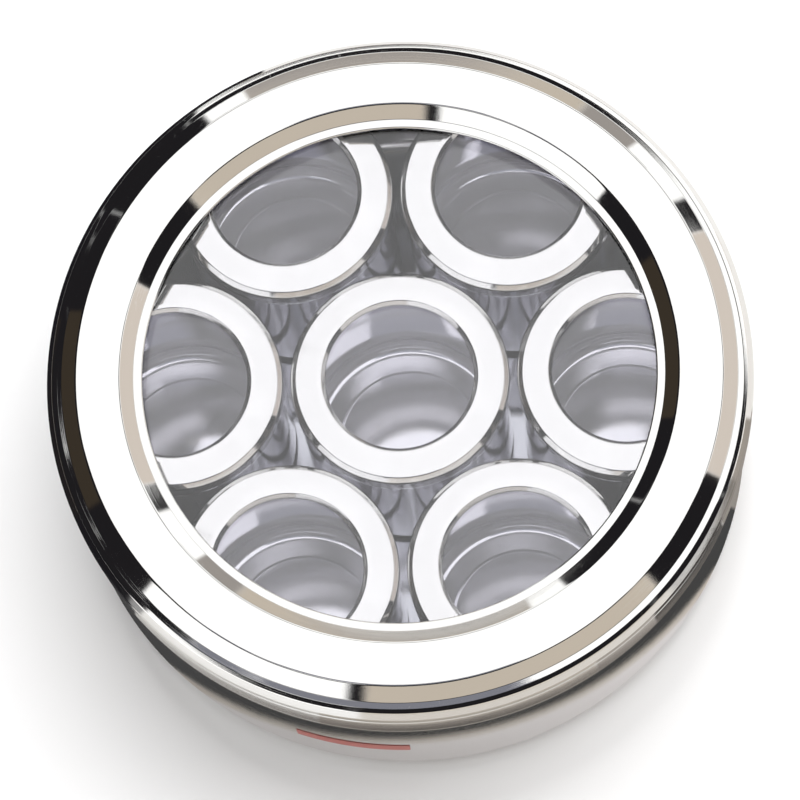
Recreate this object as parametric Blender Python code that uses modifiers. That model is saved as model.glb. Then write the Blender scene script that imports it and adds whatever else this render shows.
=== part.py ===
"""Round spice box: a steel box with seven lidded cups inside and a see-through lid over them.

Units are metres, +Z is up. The origin is the centre of the box's underside, and one outer cup
lies along +X. Every piece is thin sheet steel or clear sheet, turned about its own upright axis.
"""
import math

import bmesh
import bpy

MM = 0.001

# Overall sizes
LID_RADIUS = 100.0 * MM
OVERALL_HEIGHT = 77.5 * MM

# Sheet and pane thicknesses
BOX_SHEET = 0.7 * MM
LID_SHEET = 0.5 * MM
CUP_SHEET = 0.5 * MM
LID_PANE = 1.2 * MM
CUP_PANE = 1.2 * MM

# Clearances
SEAT_GAP = 0.5 * MM         # a lid's underside to the rim that carries it
PANE_GAP = 0.3 * MM         # round a pane in its groove
REST_GAP = 0.3 * MM         # a cup's underside to the box's floor
GUIDE_GAP = 0.5 * MM        # the lid's hem to the box's wall
CUP_LID_GAP = 0.3 * MM      # a cup lid's skirt to the cup's wall
HEADROOM = 0.4 * MM         # the cup lids' crowns to the lip under the big pane
CUP_GAP = 2.0 * MM          # between neighbouring cup lids
CUP_SIDE_GAP = 2.2 * MM     # an outer cup lid to the box's wall

# Big lid, widths measured inwards from the skirt and drops measured down from the flat band
LID_SKIRT = 23.5 * MM
LID_ROUND = 2.35 * MM
LEDGE_WIDTH = 2.25 * MM
LEDGE_DROP = 3.3 * MM
CREASE_DROP = 3.05 * MM
OUTER_SLOPE = 4.4 * MM
FLAT_BAND = 12.0 * MM
INNER_SLOPE = 4.0 * MM
INNER_SLOPE_DROP = 3.0 * MM
LID_LIP = 2.4 * MM
LID_LIP_DROP = 0.9 * MM
SKIRT_HEM_DEPTH = 0.8 * MM
SKIRT_HEM_HEIGHT = 2.0 * MM

# Cup lids, measured in the same way from the crown
CUP_LID_SKIRT = 8.5 * MM
SHOULDER_WIDTH = 1.7 * MM
SHOULDER_DROP = 1.5 * MM
CROWN_WIDTH = 6.4 * MM
CROWN_DROP = 1.4 * MM
CUP_LIP = 1.8 * MM
CUP_LIP_DROP = 1.3 * MM

# Cups
CUP_CORNER = 5.0 * MM

# Grooves that hold the panes
LOWER_LIP_SETBACK = 0.8 * MM

CUP_COUNT = 6
BIG_STEPS = 48
SMALL_STEPS = 24
CORNER_STEPS = 4
ROUND_STEPS = 3

# Radii that follow
box_radius = LID_RADIUS - LID_SHEET - SKIRT_HEM_DEPTH - GUIDE_GAP
cup_lid_radius = (box_radius - BOX_SHEET - CUP_SIDE_GAP - CUP_GAP) / 3
cup_pitch = 2 * cup_lid_radius + CUP_GAP
cup_radius = cup_lid_radius - CUP_SHEET - CUP_LID_GAP

# The box's rounded foot turns about the same circle as an outer cup's, so the cup nests in it
box_corner = CUP_CORNER + box_radius - cup_pitch - cup_radius

# Heights that follow
ledge_height = OVERALL_HEIGHT - LEDGE_DROP
box_rim = ledge_height - LID_SHEET - SEAT_GAP
cup_floor = BOX_SHEET + REST_GAP


def arc(centre, radius, start, end, steps):
    """Points on a circle in the profile's plane, angles in degrees from +X towards +Z."""
    points = []
    for index in range(steps + 1):
        angle = math.radians(start + (end - start) * index / steps)
        points.append((centre[0] + radius * math.cos(angle), centre[1] + radius * math.sin(angle)))
    return points


def parallel(path, distance):
    """The line that runs at a distance on the right-hand side of a path, with mitred corners."""
    normals = []
    for (x0, z0), (x1, z1) in zip(path, path[1:]):
        length = math.hypot(x1 - x0, z1 - z0)
        normals.append(((z1 - z0) / length, (x0 - x1) / length))
    points = []
    for index, (x, z) in enumerate(path):
        before = normals[max(index - 1, 0)]
        after = normals[min(index, len(normals) - 1)]
        scale = distance / (1 + before[0] * after[0] + before[1] * after[1])
        points.append((x + scale * (before[0] + after[0]), z + scale * (before[1] + after[1])))
    return points


def groove(outer, wall, lip_radius, lip_top, lip_sheet):
    """The wall and lower lip of a pane's groove, from its inner face round to its outer face."""
    inner = outer - wall
    lip_bottom = lip_top - lip_sheet
    return [(inner, lip_top), (lip_radius, lip_top), (lip_radius, lip_bottom), (outer, lip_bottom)]


def big_lid_section():
    """Closed section of the big lid's steel ring, its pane's radius and top, and its lowest lip."""
    skirt = LID_RADIUS
    ledge = skirt - LID_ROUND
    crease = ledge - LEDGE_WIDTH
    band_outer = crease - OUTER_SLOPE
    band_inner = band_outer - FLAT_BAND
    slope_foot = band_inner - INNER_SLOPE
    opening = slope_foot - LID_LIP
    top = OVERALL_HEIGHT
    foot = top - LID_SKIRT
    lip_height = top - INNER_SLOPE_DROP - LID_LIP_DROP
    hem = [(opening, lip_height), (slope_foot, top - INNER_SLOPE_DROP)]
    cover = [hem[1], (band_inner, top), (band_outer, top), (crease, top - CREASE_DROP)]
    cover += arc((ledge, ledge_height - LID_ROUND), LID_ROUND, 90, 0, ROUND_STEPS)
    cover.append((skirt, foot))
    under = parallel(cover, LID_SHEET)
    pane_top = lip_height - 2 * LID_SHEET - PANE_GAP
    lip_top = pane_top - LID_PANE - PANE_GAP
    hem_inner = skirt - LID_SHEET - SKIRT_HEM_DEPTH
    hem_top = foot + SKIRT_HEM_HEIGHT
    wall = under[0][0] - LID_SHEET
    section = [hem[0]] + cover
    section += [(hem_inner, foot), (hem_inner, hem_top), (under[-1][0], hem_top + SKIRT_HEM_DEPTH)]
    section += under[-2::-1]
    section += reversed(groove(under[0][0], LID_SHEET, opening + LOWER_LIP_SETBACK, lip_top, LID_SHEET))
    section += [(wall, lip_height - LID_SHEET), (opening, lip_height - 2 * LID_SHEET)]
    return section, wall - PANE_GAP, pane_top, lip_top - LID_SHEET


def cup_lid_section(crown):
    """Closed section of a cup lid's steel ring, and its pane's radius and top."""
    skirt = cup_lid_radius
    shoulder = skirt - SHOULDER_WIDTH
    crown_radius = shoulder - CROWN_WIDTH
    opening = crown_radius - CUP_LIP
    lip_height = crown - CUP_LIP_DROP
    cover = [(crown_radius, crown), (shoulder, crown - CROWN_DROP)]
    cover.append((skirt - SHOULDER_WIDTH / 4, crown - CROWN_DROP - SHOULDER_DROP / 2))
    cover.append((skirt, crown - CROWN_DROP - SHOULDER_DROP))
    cover.append((skirt, crown - CUP_LID_SKIRT))
    under = parallel(cover, CUP_SHEET)
    pane_top = lip_height - 2 * CUP_SHEET - PANE_GAP
    lip_top = pane_top - CUP_PANE - PANE_GAP
    outer = crown_radius + 2 * CUP_SHEET
    wall = outer - CUP_SHEET
    web_top = under[0][1] - (outer - under[0][0]) * CROWN_DROP / CROWN_WIDTH
    section = [(opening, lip_height), (crown_radius - 2 * CUP_LIP / 3, crown - CUP_LIP_DROP / 3)]
    section += cover
    section += under[:0:-1]
    section.append((outer, web_top))
    section += reversed(groove(outer, CUP_SHEET, opening + LOWER_LIP_SETBACK, lip_top, CUP_SHEET))
    section += [(wall, crown - 2 * CUP_SHEET), (opening, lip_height - 2 * CUP_SHEET)]
    return section, wall - PANE_GAP, pane_top


def shell_section(radius, corner, floor, rim):
    """Outer side of an open round vessel, from its rim down and in to its axis."""
    turn = arc((radius - corner, floor + corner), corner, 0, -90, CORNER_STEPS)
    return [(radius, rim)] + turn + [(0.0, floor)]


def finish(name, colour, roughness, metallic, transmission=0.0):
    material = bpy.data.materials.new(name)
    material.use_nodes = True
    shader = material.node_tree.nodes["Principled BSDF"]
    shader.inputs["Base Color"].default_value = (*colour, 1.0)
    shader.inputs["Roughness"].default_value = roughness
    shader.inputs["Metallic"].default_value = metallic
    shader.inputs["Transmission Weight"].default_value = transmission
    return material


def steel(name):
    return finish(name + "_steel", (0.80, 0.79, 0.77), 0.12, 1.0)


def clear(name):
    return finish(name + "_clear", (0.95, 0.97, 0.97), 0.05, 0.0, 0.9)


def turned(name, section, steps, place, material, closed=True, wall=0.0):
    """A section turned about the upright axis at a place; a wall makes an open line a sheet."""
    mesh = bpy.data.meshes.new(name)
    edges = [(index, index + 1) for index in range(len(section) - 1)]
    if closed:
        edges.append((len(section) - 1, 0))
    mesh.from_pydata([(x, 0.0, z) for x, z in section], edges, [])
    piece = bpy.data.objects.new(name, mesh)
    parts.objects.link(piece)
    piece.location = (place[0], place[1], 0.0)
    piece.data.materials.append(material)
    screw = piece.modifiers.new("turn", "SCREW")
    screw.axis = "Z"
    screw.steps = steps
    screw.render_steps = steps
    screw.use_merge_vertices = True
    screw.merge_threshold = 0.00001
    screw.use_smooth_shade = True
    if wall:
        sheet = piece.modifiers.new("sheet", "SOLIDIFY")
        sheet.thickness = wall
        sheet.offset = -1.0
        sheet.use_even_offset = True
    return piece


def pane(name, radius, top, thickness, steps, place, material):
    """A clear round pane with its top face at a height."""
    mesh = bpy.data.meshes.new(name)
    shape = bmesh.new()
    bmesh.ops.create_cone(shape, cap_ends=True, segments=steps, radius1=radius, radius2=radius,
                          depth=thickness)
    shape.to_mesh(mesh)
    shape.free()
    mesh.shade_smooth()
    mesh.set_sharp_from_angle(angle=math.radians(40))
    piece = bpy.data.objects.new(name, mesh)
    parts.objects.link(piece)
    piece.location = (place[0], place[1], top - thickness / 2)
    piece.data.materials.append(material)
    return piece


def cup_places():
    """The middle cup, then the six round it."""
    places = {"cup_centre": (0.0, 0.0)}
    for index in range(CUP_COUNT):
        angle = 2 * math.pi * index / CUP_COUNT
        places[f"cup_{index + 1}"] = (cup_pitch * math.cos(angle), cup_pitch * math.sin(angle))
    return places


def make_big_lid():
    section, pane_radius, pane_top, lowest = big_lid_section()
    turned("lid_ring", section, BIG_STEPS, (0.0, 0.0), steel("lid_ring"))
    pane("lid_window", pane_radius, pane_top, LID_PANE, BIG_STEPS, (0.0, 0.0), clear("lid_window"))
    return lowest


def make_box():
    section = shell_section(box_radius, box_corner, 0.0, box_rim)
    turned("box_base", section, BIG_STEPS, (0.0, 0.0), steel("box_base"), closed=False, wall=BOX_SHEET)


def make_cup(name, place, crown):
    section, pane_radius, pane_top = cup_lid_section(crown)
    rim = crown - CROWN_DROP - SHOULDER_DROP / 2 - CUP_SHEET - SEAT_GAP
    wall_line = shell_section(cup_radius, CUP_CORNER, cup_floor, rim)
    turned(name, wall_line, SMALL_STEPS, place, steel(name), closed=False, wall=CUP_SHEET)
    turned(f"{name}_lid_ring", section, SMALL_STEPS, place, steel(f"{name}_lid_ring"))
    pane(f"{name}_lid_window", pane_radius, pane_top, CUP_PANE, SMALL_STEPS, place,
         clear(f"{name}_lid_window"))


for old in list(bpy.data.objects):
    bpy.data.objects.remove(old, do_unlink=True)
parts = bpy.data.collections.new("spice_box")
bpy.context.scene.collection.children.link(parts)

make_box()
cup_lid_crown = make_big_lid() - HEADROOM
for cup_name, cup_place in cup_places().items():
    make_cup(cup_name, cup_place, cup_lid_crown)
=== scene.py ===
"""Looks of the round steel spice box: seven lidded cups in a box under a see-through lid.

Every turned piece is pulled up ring by ring from a circle along its section, then given its sheet
thickness. Sections are lists of (radius, height, bend radius) in millimetres.
"""
import math

import bpy
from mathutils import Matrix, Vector


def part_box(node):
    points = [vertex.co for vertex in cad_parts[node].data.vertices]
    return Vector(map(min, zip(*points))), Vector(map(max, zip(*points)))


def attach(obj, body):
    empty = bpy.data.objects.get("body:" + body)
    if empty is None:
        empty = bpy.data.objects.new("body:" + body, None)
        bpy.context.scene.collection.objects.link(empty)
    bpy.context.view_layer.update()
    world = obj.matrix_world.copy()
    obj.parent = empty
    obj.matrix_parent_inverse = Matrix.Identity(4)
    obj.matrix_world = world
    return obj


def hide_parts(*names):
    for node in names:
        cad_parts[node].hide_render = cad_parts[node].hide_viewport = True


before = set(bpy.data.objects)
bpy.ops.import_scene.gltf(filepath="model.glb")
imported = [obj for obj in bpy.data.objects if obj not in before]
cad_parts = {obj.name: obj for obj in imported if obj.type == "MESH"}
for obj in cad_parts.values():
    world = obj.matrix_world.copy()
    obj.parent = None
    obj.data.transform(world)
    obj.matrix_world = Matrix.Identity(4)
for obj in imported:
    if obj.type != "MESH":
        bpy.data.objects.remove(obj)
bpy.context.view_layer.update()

MM = 0.001
CUPS = ["cup_centre"] + [f"cup_{number}" for number in range(1, 7)]
BIG_RING = 192
CUP_RING = 96

# Sheet and bend sizes, in millimetres
LID_SHEET = 0.5
CUP_SHEET = 0.5
BOX_SHEET = 0.7
BEND_STEPS = 5
POLE = 0.002         # radius of the last ring, which is then merged into a point

# The label's sheet, its low and high edges and its corners in millimetres, and its ends by compass
LABEL_SHEET = 0.12
LABEL_LOW = 24.8
LABEL_HIGH = 31.0
LABEL_CORNER = 0.9
LABEL_START = 250.0
LABEL_END = 269.8

# The camera and the room's light
CAMERA_PLACE = (0.0610, -0.3765, 1.3633)
CAMERA_TURN = (15.872, 2.983, -1.003)
CAMERA_LENS = 214.9
CAMERA_SENSOR = 36.0
ROOM_STRENGTH = 1.65
LAMP_PLACE = (0.45, 0.75, 1.6)
LAMP_POWER = 24
LAMP_WIDTH = 2.0
FLOOR_RADIUS = 6.0
FLOOR_DROP = 0.0003


def reach(node):
    """Centre, outer radius, lowest and highest level of a round CAD node, in millimetres."""
    low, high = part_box(node)
    centre = (low + high) / 2
    return (centre.x, centre.y), (high.x - low.x) / 2 / MM, low.z / MM, high.z / MM


def select_nothing():
    if bpy.context.object and bpy.context.object.mode != "OBJECT":
        bpy.ops.object.mode_set(mode="OBJECT")
    bpy.ops.object.select_all(action="DESELECT")


def make_active(piece):
    select_nothing()
    piece.select_set(True)
    bpy.context.view_layer.objects.active = piece


# ---------------------------------------------------------------- sections

def bent(corners):
    """Section points with each corner that has a bend radius turned into an arc."""
    points = []
    last = len(corners) - 1
    for index, (radius, height, bend) in enumerate(corners):
        here = Vector((radius, height))
        if bend == 0 or index in (0, last):
            points.append(here)
            continue
        to_last = Vector(corners[index - 1][:2]) - here
        to_next = Vector(corners[index + 1][:2]) - here
        half = to_last.angle(to_next) / 2
        run = min(bend / math.tan(half), 0.49 * to_last.length, 0.49 * to_next.length)
        true_bend = run * math.tan(half)
        middle = (to_last.normalized() + to_next.normalized()).normalized()
        centre = here + middle * true_bend / math.sin(half)
        start = here + to_last.normalized() * run - centre
        sweep = start.angle_signed(here + to_next.normalized() * run - centre)
        for step in range(BEND_STEPS + 1):
            turn = -sweep * step / BEND_STEPS
            points.append(centre + Vector((start.x * math.cos(turn) - start.y * math.sin(turn),
                                           start.x * math.sin(turn) + start.y * math.cos(turn))))
    return points


# ---------------------------------------------------------------- turned pieces

def pull_rings(name, section, ring, centre):
    """A skin drawn from a circle: each ring is extruded, scaled and lifted to the next point."""
    select_nothing()
    first = section[0]
    place = (centre[0], centre[1], first.y * MM)
    bpy.ops.mesh.primitive_circle_add(vertices=ring, radius=first.x * MM, location=place)
    piece = bpy.context.object
    piece.name = name
    bpy.ops.object.mode_set(mode="EDIT")
    bpy.ops.mesh.select_all(action="SELECT")
    radius, height = first
    for point in section[1:]:
        lift = {"value": (0, 0, (point.y - height) * MM)}
        bpy.ops.mesh.extrude_edges_move(TRANSFORM_OT_translate=lift)
        scale = point.x / radius
        bpy.ops.transform.resize(value=(scale, scale, 1),
                                 center_override=(centre[0], centre[1], point.y * MM))
        radius, height = point
    bpy.ops.object.mode_set(mode="OBJECT")
    bpy.ops.object.transform_apply(location=True, rotation=True, scale=True)
    piece.data.name = name
    return piece


def add_section_map(piece, section, ring):
    """A map whose second value is the distance along the section, in units of 100 mm."""
    along = [0.0]
    for before, after in zip(section, section[1:]):
        along.append(along[-1] + (after - before).length / 100)
    corners = piece.data.uv_layers.new(name="section")
    for loop in piece.data.loops:
        level, turn = divmod(loop.vertex_index, ring)
        corners.data[loop.index].uv = (turn / ring, along[level])


def face_out(piece, highest):
    """Turns the skin so that its highest face looks up, or its lowest face looks down."""
    make_active(piece)
    bpy.ops.object.mode_set(mode="EDIT")
    bpy.ops.mesh.select_all(action="SELECT")
    bpy.ops.mesh.normals_make_consistent(inside=False)
    bpy.ops.object.mode_set(mode="OBJECT")
    pick = max if highest else min
    face = pick(piece.data.polygons, key=lambda polygon: polygon.center.z)
    if (face.normal.z > 0) != highest:
        piece.data.flip_normals()


def smooth(piece, angle=35):
    """Round shading that keeps the wide faces flat, so that only the bends catch the light."""
    make_active(piece)
    bpy.ops.object.shade_smooth_by_angle(angle=math.radians(angle))
    weighting = piece.modifiers.new("weighting", "WEIGHTED_NORMAL")
    weighting.mode = "FACE_AREA"
    weighting.weight = 90
    weighting.keep_sharp = True
    bpy.ops.object.modifier_apply(modifier=weighting.name)


def give_sheet(piece, thickness):
    """Sheet thickness under the skin, on the side away from its normals."""
    make_active(piece)
    sheet = piece.modifiers.new("sheet", "SOLIDIFY")
    sheet.thickness = thickness * MM
    sheet.offset = -1
    sheet.use_even_offset = True
    bpy.ops.object.modifier_apply(modifier=sheet.name)


def close_pole(piece):
    """Merges the last, tiny ring into one point on the axis."""
    make_active(piece)
    bpy.ops.object.mode_set(mode="EDIT")
    bpy.ops.mesh.select_all(action="SELECT")
    bpy.ops.mesh.remove_doubles(threshold=0.00001)
    bpy.ops.object.mode_set(mode="OBJECT")


def turned_sheet(name, corners, ring, centre, thickness, highest, pole=False):
    section = bent(corners)
    piece = pull_rings(name, section, ring, centre)
    add_section_map(piece, section, ring)
    if pole:
        close_pole(piece)
    face_out(piece, highest)
    give_sheet(piece, thickness)
    smooth(piece)
    return piece


def clear_disc(name, radius, low, high, ring, centre, edge=0.25):
    """A clear round pane with softly bevelled rims, cut from a cylinder."""
    select_nothing()
    place = (centre[0], centre[1], (low + high) / 2 * MM)
    bpy.ops.mesh.primitive_cylinder_add(vertices=ring, radius=radius * MM, depth=(high - low) * MM,
                                        location=place)
    piece = bpy.context.object
    piece.name = name
    piece.data.name = name
    bpy.ops.object.mode_set(mode="EDIT")
    bpy.ops.mesh.select_all(action="DESELECT")
    bpy.ops.object.mode_set(mode="OBJECT")
    for line in piece.data.edges:
        ends = [piece.data.vertices[index].co for index in line.vertices]
        line.select = abs(ends[0].z - ends[1].z) < MM / 10
    bpy.ops.object.mode_set(mode="EDIT")
    bpy.ops.mesh.bevel(offset=edge * MM, segments=3)
    bpy.ops.object.mode_set(mode="OBJECT")
    bpy.ops.object.transform_apply(location=True, rotation=True, scale=True)
    smooth(piece)
    return piece


def copy_piece(source, name, shift):
    """The same piece at another place, with a mesh of its own."""
    piece = source.copy()
    piece.data = source.data.copy()
    piece.name = name
    piece.data.name = name
    bpy.context.scene.collection.objects.link(piece)
    piece.location = shift
    make_active(piece)
    bpy.ops.object.transform_apply(location=True, rotation=False, scale=False)
    return piece


# ---------------------------------------------------------------- materials

def new_group(name, inputs, outputs):
    """A shader node group with float inputs {name: default} and outputs [(name, type)]."""
    group = bpy.data.node_groups.new(name, "ShaderNodeTree")
    for label, value in inputs.items():
        socket = group.interface.new_socket(label, in_out="INPUT", socket_type="NodeSocketFloat")
        socket.default_value = value
    for label, kind in outputs:
        group.interface.new_socket(label, in_out="OUTPUT", socket_type=kind)
    return group, group.nodes.new("NodeGroupInput"), group.nodes.new("NodeGroupOutput")


def maths(tree, operation, first, second=0.0, clamp=False):
    node = tree.nodes.new("ShaderNodeMath")
    node.operation = operation
    node.use_clamp = clamp
    for socket, value in zip(node.inputs, (first, second)):
        if isinstance(value, (int, float)):
            socket.default_value = value
        else:
            tree.links.new(value, socket)
    return node.outputs[0]


def noise(tree, vector, scale, detail=2.0, roughness=0.5):
    node = tree.nodes.new("ShaderNodeTexNoise")
    node.inputs["Detail"].default_value = detail
    node.inputs["Roughness"].default_value = roughness
    if isinstance(scale, (int, float)):
        node.inputs["Scale"].default_value = scale
    else:
        tree.links.new(scale, node.inputs["Scale"])
    tree.links.new(vector, node.inputs["Vector"])
    return node.outputs["Fac"]


def ramp(tree, value, low, high, to_low=0.0, to_high=1.0):
    node = tree.nodes.new("ShaderNodeMapRange")
    tree.links.new(value, node.inputs["Value"])
    for label, number in (("From Min", low), ("From Max", high), ("To Min", to_low), ("To Max", to_high)):
        node.inputs[label].default_value = number
    return node.outputs["Result"]


def make_turning_group():
    """Fine rings that a polishing wheel leaves on turned sheet, read along the section."""
    group, given, out = new_group("turning_marks", {"Lines": 900.0, "Depth": 1.0},
                                  [("Height", "NodeSocketFloat"), ("Haze", "NodeSocketFloat")])
    section = group.nodes.new("ShaderNodeUVMap")
    section.uv_map = "section"
    parts = group.nodes.new("ShaderNodeSeparateXYZ")
    group.links.new(section.outputs["UV"], parts.inputs[0])
    line = group.nodes.new("ShaderNodeCombineXYZ")
    group.links.new(parts.outputs["Y"], line.inputs["Y"])
    fine = noise(group, line.outputs[0], given.outputs["Lines"], 3.0, 0.7)
    broad = noise(group, line.outputs[0], maths(group, "MULTIPLY", given.outputs["Lines"], 0.12), 1.0)
    group.links.new(maths(group, "MULTIPLY", fine, given.outputs["Depth"]), out.inputs["Height"])
    group.links.new(maths(group, "MULTIPLY", broad, fine), out.inputs["Haze"])
    return group


def make_scratch_group():
    """Sparse hairline scratches in two directions, read in the object's own space."""
    group, given, out = new_group("hairline_scratches", {"Scale": 60.0, "Amount": 0.5},
                                  [("Mask", "NodeSocketFloat")])
    space = group.nodes.new("ShaderNodeTexCoord")
    lines = []
    for turn, stretch in ((0.5, 0.04), (2.1, 0.06)):
        mapping = group.nodes.new("ShaderNodeMapping")
        mapping.inputs["Rotation"].default_value = (0.3, 0.2, turn)
        mapping.inputs["Scale"].default_value = (1.0, stretch, 1.0)
        group.links.new(space.outputs["Object"], mapping.inputs["Vector"])
        scale = maths(group, "MULTIPLY", given.outputs["Scale"], 20.0)
        grain = noise(group, mapping.outputs[0], scale, 1.0)
        lines.append(ramp(group, grain, 0.71, 0.76))
    both = maths(group, "MAXIMUM", lines[0], lines[1])
    group.links.new(maths(group, "MULTIPLY", both, given.outputs["Amount"]), out.inputs["Mask"])
    return group


def make_smudge_group():
    """Soft patches of handling haze and settled dust."""
    group, given, out = new_group("handling_haze", {"Scale": 25.0, "Amount": 0.5},
                                  [("Mask", "NodeSocketFloat")])
    space = group.nodes.new("ShaderNodeTexCoord")
    patch = noise(group, space.outputs["Object"], given.outputs["Scale"], 4.0, 0.6)
    soft = ramp(group, patch, 0.45, 0.75)
    group.links.new(maths(group, "MULTIPLY", soft, given.outputs["Amount"]), out.inputs["Mask"])
    return group


def make_inside_shade_group():
    """A mask of a round bowl's inside, where painted shade is laid: its wall above the foot and its flat
    floor, in metres.
    """
    group, given, out = new_group("painted_shade_inside", {"Wall": 0.0979, "Flat": 0.0893, "Foot": 0.0088,
                                                   "Underside": 0.0004}, [("Mask", "NodeSocketFloat")])
    space = group.nodes.new("ShaderNodeTexCoord")
    parts = group.nodes.new("ShaderNodeSeparateXYZ")
    group.links.new(space.outputs["Object"], parts.inputs[0])
    squares = [maths(group, "MULTIPLY", parts.outputs[axis], parts.outputs[axis]) for axis in "XY"]
    radius = maths(group, "SQRT", maths(group, "ADD", *squares))
    wall = maths(group, "MULTIPLY", maths(group, "LESS_THAN", radius, given.outputs["Wall"]),
                 maths(group, "GREATER_THAN", parts.outputs["Z"], given.outputs["Foot"]))
    flat = maths(group, "MULTIPLY", maths(group, "LESS_THAN", radius, given.outputs["Flat"]),
                 maths(group, "GREATER_THAN", parts.outputs["Z"], given.outputs["Underside"]))
    group.links.new(maths(group, "MAXIMUM", wall, flat), out.inputs["Mask"])
    return group


turning_marks = make_turning_group()
hairlines = make_scratch_group()
handling_haze = make_smudge_group()
painted_shade_inside = make_inside_shade_group()


def place_group(tree, group, **values):
    node = tree.nodes.new("ShaderNodeGroup")
    node.node_tree = group
    for label, value in values.items():
        node.inputs[label].default_value = value
    return node


def new_material(name):
    material = bpy.data.materials.new(name)
    material.use_nodes = True
    return material, material.node_tree, material.node_tree.nodes["Principled BSDF"]


def blend_colours(tree, factor, first, second):
    node = tree.nodes.new("ShaderNodeMix")
    node.data_type = "RGBA"
    tree.links.new(factor, node.inputs["Factor"])
    node.inputs["A"].default_value = (*first, 1)
    node.inputs["B"].default_value = (*second, 1)
    return node.outputs["Result"]


def lay_card(tree, mask, below, ground, shade):
    """A colour laid by a mask over what is below it, or over the plain ground."""
    mix = tree.nodes.new("ShaderNodeMix")
    mix.data_type = "RGBA"
    tree.links.new(mask, mix.inputs["Factor"])
    mix.inputs["A"].default_value = (*ground, 1)
    if below is not None:
        tree.links.new(below, mix.inputs["A"])
    mix.inputs["B"].default_value = (*shade, 1)
    return mix.outputs["Result"]


def polished_steel(name, colour, dull, rough, lines, depth, haze, inside=None, metal=1.0):
    """Stainless sheet: turning rings, hairlines and handling haze, and a darker colour laid on the inside
    as painted shade.
    """
    material, tree, shader = new_material(name)
    rings = place_group(tree, turning_marks, Lines=lines, Depth=1.0)
    scratches = place_group(tree, hairlines, Scale=60.0, Amount=0.6)
    smudges = place_group(tree, handling_haze, Scale=22.0, Amount=haze)
    wear = maths(tree, "ADD", maths(tree, "MULTIPLY", rings.outputs["Haze"], 0.3), smudges.outputs["Mask"],
                 clamp=True)
    skin = blend_colours(tree, wear, colour, dull)
    # Painted shade: a darker colour laid over the bowl's inside
    if inside:
        skin = lay_card(tree, place_group(tree, painted_shade_inside).outputs["Mask"], skin, colour, inside)
    tree.links.new(skin, shader.inputs["Base Color"])
    shine = maths(tree, "ADD", maths(tree, "MULTIPLY", wear, 0.10), rough)
    marked = maths(tree, "ADD", maths(tree, "MULTIPLY", scratches.outputs["Mask"], 0.12), shine)
    tree.links.new(marked, shader.inputs["Roughness"])
    shader.inputs["Metallic"].default_value = metal
    bump = tree.nodes.new("ShaderNodeBump")
    bump.inputs["Strength"].default_value = depth
    bump.inputs["Distance"].default_value = 0.00002
    tree.links.new(rings.outputs["Height"], bump.inputs["Height"])
    tree.links.new(bump.outputs["Normal"], shader.inputs["Normal"])
    return material


def clear_sheet(name, colour):
    """Clear acrylic with a few wiping marks in its gloss."""
    material, tree, shader = new_material(name)
    scratches = place_group(tree, hairlines, Scale=45.0, Amount=1.0)
    smudges = place_group(tree, handling_haze, Scale=18.0, Amount=1.0)
    marks = maths(tree, "ADD", maths(tree, "MULTIPLY", scratches.outputs["Mask"], 0.02),
                  maths(tree, "MULTIPLY", smudges.outputs["Mask"], 0.004))
    tree.links.new(marks, shader.inputs["Roughness"])
    shader.inputs["Base Color"].default_value = (*colour, 1)
    shader.inputs["Metallic"].default_value = 0.0
    shader.inputs["IOR"].default_value = 1.49
    shader.inputs["Transmission Weight"].default_value = 1.0
    return material


def printed_paper(name, colour, faded):
    """Coated paper in one printed colour, a little faded in patches and rubbed by hairlines."""
    material, tree, shader = new_material(name)
    scratches = place_group(tree, hairlines, Scale=90.0, Amount=0.15)
    smudges = place_group(tree, handling_haze, Scale=12.0, Amount=0.3)
    wear = maths(tree, "ADD", scratches.outputs["Mask"], smudges.outputs["Mask"], clamp=True)
    tree.links.new(blend_colours(tree, wear, colour, faded), shader.inputs["Base Color"])
    tree.links.new(maths(tree, "ADD", maths(tree, "MULTIPLY", wear, 0.2), 0.32), shader.inputs["Roughness"])
    space = tree.nodes.new("ShaderNodeTexCoord")
    bump = tree.nodes.new("ShaderNodeBump")
    bump.inputs["Strength"].default_value = 0.25
    bump.inputs["Distance"].default_value = 0.00003
    tree.links.new(noise(tree, space.outputs["Object"], 2500.0, 3.0), bump.inputs["Height"])
    tree.links.new(bump.outputs["Normal"], shader.inputs["Normal"])
    return material


lid_steel = polished_steel("lid_steel", (0.66, 0.655, 0.64), (0.60, 0.595, 0.58), 0.03, 420.0, 0.25, 0.25)
# The box's inside colour is painted shade: the inside, seen in the gaps between the cups, is painted darker
# grey-blue
box_steel = polished_steel("box_steel", (0.64, 0.635, 0.62), (0.57, 0.565, 0.55), 0.02, 420.0, 0.3, 0.25,
                           inside=(0.40, 0.405, 0.435))
cup_steel = polished_steel("cup_steel", (0.86, 0.85, 0.89), (0.78, 0.77, 0.81), 0.035, 500.0, 0.25, 0.2,
                           metal=0.72)
cup_lid_steel = polished_steel("cup_lid_steel", (0.66, 0.655, 0.645), (0.60, 0.595, 0.585), 0.03, 500.0,
                               0.25, 0.25)
lid_pane = clear_sheet("lid_pane", (0.95, 0.95, 0.97))
cup_pane = clear_sheet("cup_pane", (0.96, 0.96, 0.97))
label_paper = printed_paper("label_paper", (0.46, 0.12, 0.10), (0.60, 0.33, 0.30))


# ---------------------------------------------------------------- the big lid

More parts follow.
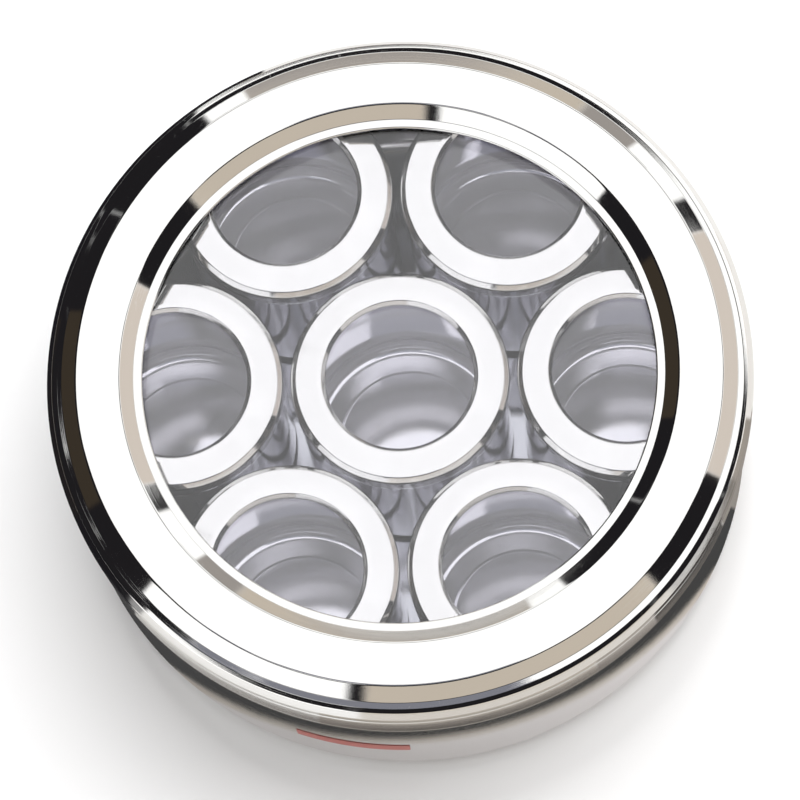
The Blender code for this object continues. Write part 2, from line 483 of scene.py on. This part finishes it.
def make_lid_ring():
    """Pane groove, folded lip, slope, flat band, outer slope, bead, ribbed skirt and its hem."""
    centre, radius, foot, top = reach("lid_ring")
    groove = radius - 25.15
    lip = radius - 27.5
    band_inner, band_outer = radius - 21.0, radius - 9.0
    crease = band_outer + 4.4
    skirt = radius - 0.5
    hem = foot + 2.0
    corners = [
        (groove - 1.45, top - 6.7, 0), (groove, top - 6.7, 0.35), (groove, top - 4.7, 0.35),
        (lip, top - 4.7, 0.6), (lip - 0.05, top - 3.45, 0.6), (band_inner - 4.0, top - 3.15, 0.6),
        (band_inner, top, 2.0), (band_outer, top, 2.0), (crease, top - 3.05, 1.0),
        (crease + 1.6, top - 3.5, 2.5), (crease + 2.9, top - 4.15, 0.8),
        (radius - 0.1, top - 6.4, 1.4), (radius - 0.1, top - 8.2, 0.2), (radius - 0.4, top - 8.7, 0.2),
        (radius - 0.4, top - 9.0, 0.2), (radius - 0.05, top - 9.5, 0.2),
        (radius - 0.05, top - 11.6, 0.2), (skirt, top - 12.3, 0.3), (skirt, hem + 0.5, 0.1),
        (skirt - 0.12, hem + 0.25, 0.1), (skirt, hem, 0.1), (skirt, foot, 0.55),
        (skirt - 0.7, foot, 0.3), (skirt - 0.7, foot + 1.9, 0),
    ]
    return turned_sheet("lid_rim", corners, BIG_RING, centre, LID_SHEET * 0.8, True)


def make_lid_pane():
    centre, radius, low, high = reach("lid_window")
    return clear_disc("lid_pane", radius, low, high, BIG_RING, centre)


# ---------------------------------------------------------------- the box

def make_box():
    """Drawn bowl: a curled rim, a straight wall, a rounded foot and a floor with a shallow step."""
    centre, radius, floor, rim = reach("box_base")
    step = radius - 26.2
    corners = [
        (radius - 1.6, rim - 0.9, 0), (radius - 1.6, rim, 0.5), (radius, rim, 0.5),
        (radius, floor, 8.8), (step, floor, 0.8), (step - 1.5, floor + 0.25, 0.8), (POLE, floor + 0.25, 0),
    ]
    return turned_sheet("box_bowl", corners, BIG_RING, centre, BOX_SHEET - 0.1, False, pole=True)


# ---------------------------------------------------------------- the cups

def make_cup():
    centre, radius, floor, rim = reach("cup_centre")
    step = radius - 9.3
    corners = [
        (radius, rim, 0), (radius, floor, 5.0), (step, floor, 0.5), (step - 0.8, floor + 0.2, 0.5),
        (POLE, floor + 0.2, 0),
    ]
    return turned_sheet("cup_centre_bowl", corners, CUP_RING, centre, CUP_SHEET, False, pole=True)


def make_cup_lid_ring():
    """Pane groove, rolled lip, sloping crown, rounded shoulder and a skirt."""
    centre, radius, foot, crown = reach("cup_centre_lid_ring")
    groove = radius - 7.55
    lip = radius - 10.1
    corners = [
        (groove - 1.35, crown - 4.1, 0), (groove, crown - 4.1, 0.35), (groove, crown - 2.0, 0.4),
        (lip + 0.35, crown - 2.35, 0.5), (lip, crown - 1.2, 0.5), (lip + 1.2, crown, 0.8),
        (lip + 2.4, crown - 0.05, 0.6), (radius - 1.5, crown - 1.4, 1.0), (radius, crown - 2.6, 1.0),
        (radius, foot + 1.2, 0.3), (radius - 0.1, foot, 0),
    ]
    return turned_sheet("cup_centre_lid_rim", corners, CUP_RING, centre, CUP_SHEET * 0.8, True)


def make_cup_pane():
    centre, radius, low, high = reach("cup_centre_lid_window")
    return clear_disc("cup_centre_pane", radius, low, high, CUP_RING, centre)


# ---------------------------------------------------------------- the blank label

def make_label():
    """A strip of paper bent round the front of the box, with rounded corners and nothing on it."""
    centre, radius, floor, rim = reach("box_base")
    select_nothing()
    bpy.ops.mesh.primitive_circle_add(vertices=4 * BIG_RING, radius=(radius + LABEL_SHEET) * MM,
                                      location=(centre[0], centre[1], LABEL_LOW * MM))
    piece = bpy.context.object
    piece.name = "blank_label"
    piece.data.name = "blank_label"
    bpy.ops.object.mode_set(mode="EDIT")
    bpy.ops.mesh.select_all(action="DESELECT")
    bpy.ops.object.mode_set(mode="OBJECT")
    for point in piece.data.vertices:
        compass = math.degrees(math.atan2(point.co.y, point.co.x)) % 360
        point.select = not LABEL_START <= compass <= LABEL_END
    bpy.ops.object.mode_set(mode="EDIT")
    bpy.ops.mesh.delete(type="VERT")
    bpy.ops.mesh.select_all(action="SELECT")
    bpy.ops.mesh.extrude_edges_move(TRANSFORM_OT_translate={"value": (0, 0, (LABEL_HIGH - LABEL_LOW) * MM)})
    bpy.ops.object.mode_set(mode="OBJECT")
    bpy.ops.object.transform_apply(location=True, rotation=True, scale=True)
    ends = [math.atan2(point.co.y, point.co.x) for point in piece.data.vertices]
    for point, compass in zip(piece.data.vertices, ends):
        point.select = compass in (min(ends), max(ends))
    bpy.ops.object.mode_set(mode="EDIT")
    bpy.ops.mesh.bevel(offset=LABEL_CORNER * MM, segments=4, affect="VERTICES", clamp_overlap=False)
    bpy.ops.mesh.select_all(action="SELECT")
    bpy.ops.mesh.normals_make_consistent(inside=False)
    bpy.ops.object.mode_set(mode="OBJECT")
    front = piece.data.polygons[0]
    if front.normal.dot(front.center - Vector((centre[0], centre[1], front.center.z))) < 0:
        piece.data.flip_normals()
    give_sheet(piece, LABEL_SHEET * 0.7)
    smooth(piece, 60)
    return piece


def show(piece, node, body, material):
    """Finishes a piece: its material, the body it moves with and the CAD node it stands for."""
    piece.data.materials.clear()
    piece.data.materials.append(material)
    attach(piece, body)
    if node:
        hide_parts(node)


show(make_lid_ring(), "lid_ring", "lid", lid_steel)
show(make_lid_pane(), "lid_window", "lid", lid_pane)
show(make_box(), "box_base", "box", box_steel)
show(make_label(), None, "box", label_paper)

patterns = {
    "{}_bowl": (make_cup(), "{}", "{}", "cup_steel", cup_steel),
    "{}_lid_rim": (make_cup_lid_ring(), "{}_lid_ring", "{}_lid", "cup_lid_steel", cup_lid_steel),
    "{}_pane": (make_cup_pane(), "{}_lid_window", "{}_lid", "cup_pane", cup_pane),
}
for name in CUPS:
    place = reach(name)[0]
    for label, (first, node, body, slot, material) in patterns.items():
        piece = first
        if name != "cup_centre":
            piece = copy_piece(first, label.format(name), (place[0], place[1], 0))
        show(piece, node.format(name), body.format(name), material)


# ---------------------------------------------------------------- floor, light and camera

def linear(red, green, blue):
    """A display colour from 0 to 255 as linear light."""
    return tuple((value / 255) ** 2.2 for value in (red, green, blue))


SOFT_TURN = 0.006   # half the soft edge of a card, in radians


def card_mask(tree, compass, level, start, end, low, high, soft):
    """One inside a card's compass angles (degrees) and its low and high level, nought outside."""
    middle = math.radians((start + end) / 2)
    half = math.radians((end - start) / 2)
    turn = maths(tree, "COSINE", maths(tree, "SUBTRACT", compass, middle))
    inside = ramp(tree, turn, math.cos(half + SOFT_TURN), math.cos(half - SOFT_TURN))
    under = ramp(tree, level, high + soft, high - soft)
    above = ramp(tree, level, low - soft, low + soft)
    return maths(tree, "MULTIPLY", maths(tree, "MULTIPLY", inside, under), above)


# Painted reflections and painted shade that the steel mirrors of the floor, shown to glossy rays only:
# dark, tan and grey wedges and rings, among them a black ring painted as the shadow line under the lid's
# hem.
# Compass start and end in degrees, inner and outer distance in metres from the middle of the mirrored
# rings, and the colour it shows in the steel
RING_MIDDLE = (0.0025, -0.0155, 0.0)
RING_SOFT = 0.0003   # half the soft edge of a ring, in metres
WIDE_SOFT = 0.01     # and of a wide card
WIDE_CARD = 0.2
PAINTED_FLOOR_REFLECTIONS = [
    (196, 252, 0.0, 0.40, (222, 220, 217)), (252, 306, 0.0, 0.40, (186, 179, 170)),
    (306, 320, 0.0, 0.40, (160, 154, 148)), (320, 342, 0.0, 0.40, (62, 58, 55)),
    (342, 362, 0.0, 0.40, (136, 130, 124)), (110, 212, 0.0, 0.60, (34, 33, 36)),
    (196, 346, 0.0964, 0.0980, (128, 119, 112)), (196, 346, 0.0910, 0.0964, (12, 10, 8)),
    (212, 346, 0.0, 0.0910, (205, 197, 186)), (212, 346, 0.0, 0.0897, (240, 237, 238)),
]


def make_floor():
    select_nothing()
    bpy.ops.mesh.primitive_circle_add(vertices=96, radius=FLOOR_RADIUS, fill_type="NGON",
                                      location=(0, 0, -FLOOR_DROP))
    floor = bpy.context.object
    floor.name = "studio_floor"
    material, tree, shader = new_material("pale_floor_painted_reflections")
    shader.inputs["Roughness"].default_value = 0.12
    space = tree.nodes.new("ShaderNodeTexCoord")
    split = tree.nodes.new("ShaderNodeSeparateXYZ")
    tree.links.new(space.outputs["Object"], split.inputs[0])
    shifted = tree.nodes.new("ShaderNodeVectorMath")
    shifted.operation = "SUBTRACT"
    shifted.inputs[1].default_value = RING_MIDDLE
    tree.links.new(space.outputs["Object"], shifted.inputs[0])
    flat = tree.nodes.new("ShaderNodeVectorMath")
    flat.operation = "LENGTH"
    tree.links.new(shifted.outputs["Vector"], flat.inputs[0])
    compass = maths(tree, "ARCTAN2", split.outputs["Y"], split.outputs["X"])
    # Painted reflection and painted shade: the cards are laid one over another, for glossy rays only
    painted_reflection = None
    for start, end, inner, outer, shade in PAINTED_FLOOR_REFLECTIONS:
        soft = RING_SOFT if outer < WIDE_CARD else WIDE_SOFT
        mask = card_mask(tree, compass, flat.outputs["Value"], start, end, inner, outer, soft)
        bright = [min(value, 0.95) for value in linear(*shade)]
        painted_reflection = lay_card(tree, mask, painted_reflection, (0.90, 0.89, 0.88), bright)
    # Glossy rays see the painted reflection and shade cards; camera and diffuse rays see the plain pale
    # floor
    path = tree.nodes.new("ShaderNodeLightPath")
    mix = tree.nodes.new("ShaderNodeMix")
    mix.data_type = "RGBA"
    tree.links.new(path.outputs["Is Glossy Ray"], mix.inputs["Factor"])
    mix.inputs["A"].default_value = (0.90, 0.90, 0.905, 1)
    tree.links.new(painted_reflection, mix.inputs["B"])
    tree.links.new(mix.outputs["Result"], shader.inputs["Base Color"])
    floor.data.materials.append(material)


def make_room():
    """A white studio with dark, slate and warm cards on its walls, by compass angle and height."""
    world = bpy.data.worlds.new("studio")
    bpy.context.scene.world = world
    world.use_nodes = True
    tree = world.node_tree
    back = tree.nodes["Background"]
    coord = tree.nodes.new("ShaderNodeTexCoord")
    split = tree.nodes.new("ShaderNodeSeparateXYZ")
    tree.links.new(coord.outputs["Generated"], split.inputs[0])
    height = maths(tree, "ARCSINE", split.outputs["Z"])
    compass = maths(tree, "ARCTAN2", split.outputs["Y"], split.outputs["X"])
    white = linear(255, 255, 255)
    warm = linear(184, 174, 161)
    grey = linear(146, 141, 137)
    slate = linear(118, 119, 128)
    blush = linear(200, 190, 181)
    pale = linear(218, 214, 208)
    brown = linear(56, 50, 43)
    black = linear(33, 32, 34)
    cards = [  # compass start and end in degrees, low and high edge in degrees, colour
        (118, 136, -10, 47, black), (136, 205, -10, 52, black), (152, 186, 8, 25, brown),
        (53, 118, 36, 44, black), (53, 118, 12.5, 17, black), (66, 112, 2, 12.5, warm),
        (66, 112, -10, 2, grey), (57, 66, -10, 12, grey), (-5, 53, 34, 44, black),
        (40, 46, 8, 13, black), (329.5, 355, -10, 52, black), (-5, 40, 8, 26, blush),
        (165, 180, 50, 57, black), (178, 193, 50, 61, black), (191, 206, 52, 64, black),
        (205, 254, 44, 54, black), (205, 224, 54, 67, slate), (254, 329.5, 41, 58, black),
        (222, 300, 58, 74, slate), (258, 329.5, 28, 41, warm), (258, 329.5, 12, 28, pale),
        (258, 329.5, -10, 12, warm), (254, 258, 28, 42, black),
    ]
    colour = None
    for start, end, low, high, shade in cards:
        mask = card_mask(tree, compass, height, start, end, math.radians(low), math.radians(high),
                         SOFT_TURN)
        colour = lay_card(tree, mask, colour, white, shade)
    tree.links.new(colour, back.inputs["Color"])
    back.inputs["Strength"].default_value = ROOM_STRENGTH


def make_lights():
    """One wide soft disk, high up and behind the box to its right."""
    bpy.ops.object.light_add(type="AREA", location=LAMP_PLACE)
    lamp = bpy.context.object
    lamp.name = "high_softbox"
    lamp.rotation_euler = Vector(lamp.location).to_track_quat("Z", "Y").to_euler()
    lamp.data.energy = LAMP_POWER
    lamp.data.shape = "DISK"
    lamp.data.size = LAMP_WIDTH
    lamp.visible_glossy = False
    lamp.visible_transmission = False


def make_camera():
    """A long lens a little to the right of the front, looking steeply down."""
    data = bpy.data.cameras.new("camera")
    data.lens = CAMERA_LENS
    data.sensor_width = CAMERA_SENSOR
    data.clip_start = 0.01
    camera = bpy.data.objects.new("camera", data)
    bpy.context.scene.collection.objects.link(camera)
    camera.location = CAMERA_PLACE
    camera.rotation_euler = [math.radians(angle) for angle in CAMERA_TURN]
    bpy.context.scene.camera = camera


make_floor()
make_room()
make_lights()
make_camera()
bpy.context.scene.view_settings.view_transform = "Standard"
bpy.context.scene.cycles.max_bounces = 24
bpy.context.scene.cycles.glossy_bounces = 12
bpy.context.scene.cycles.transmission_bounces = 20
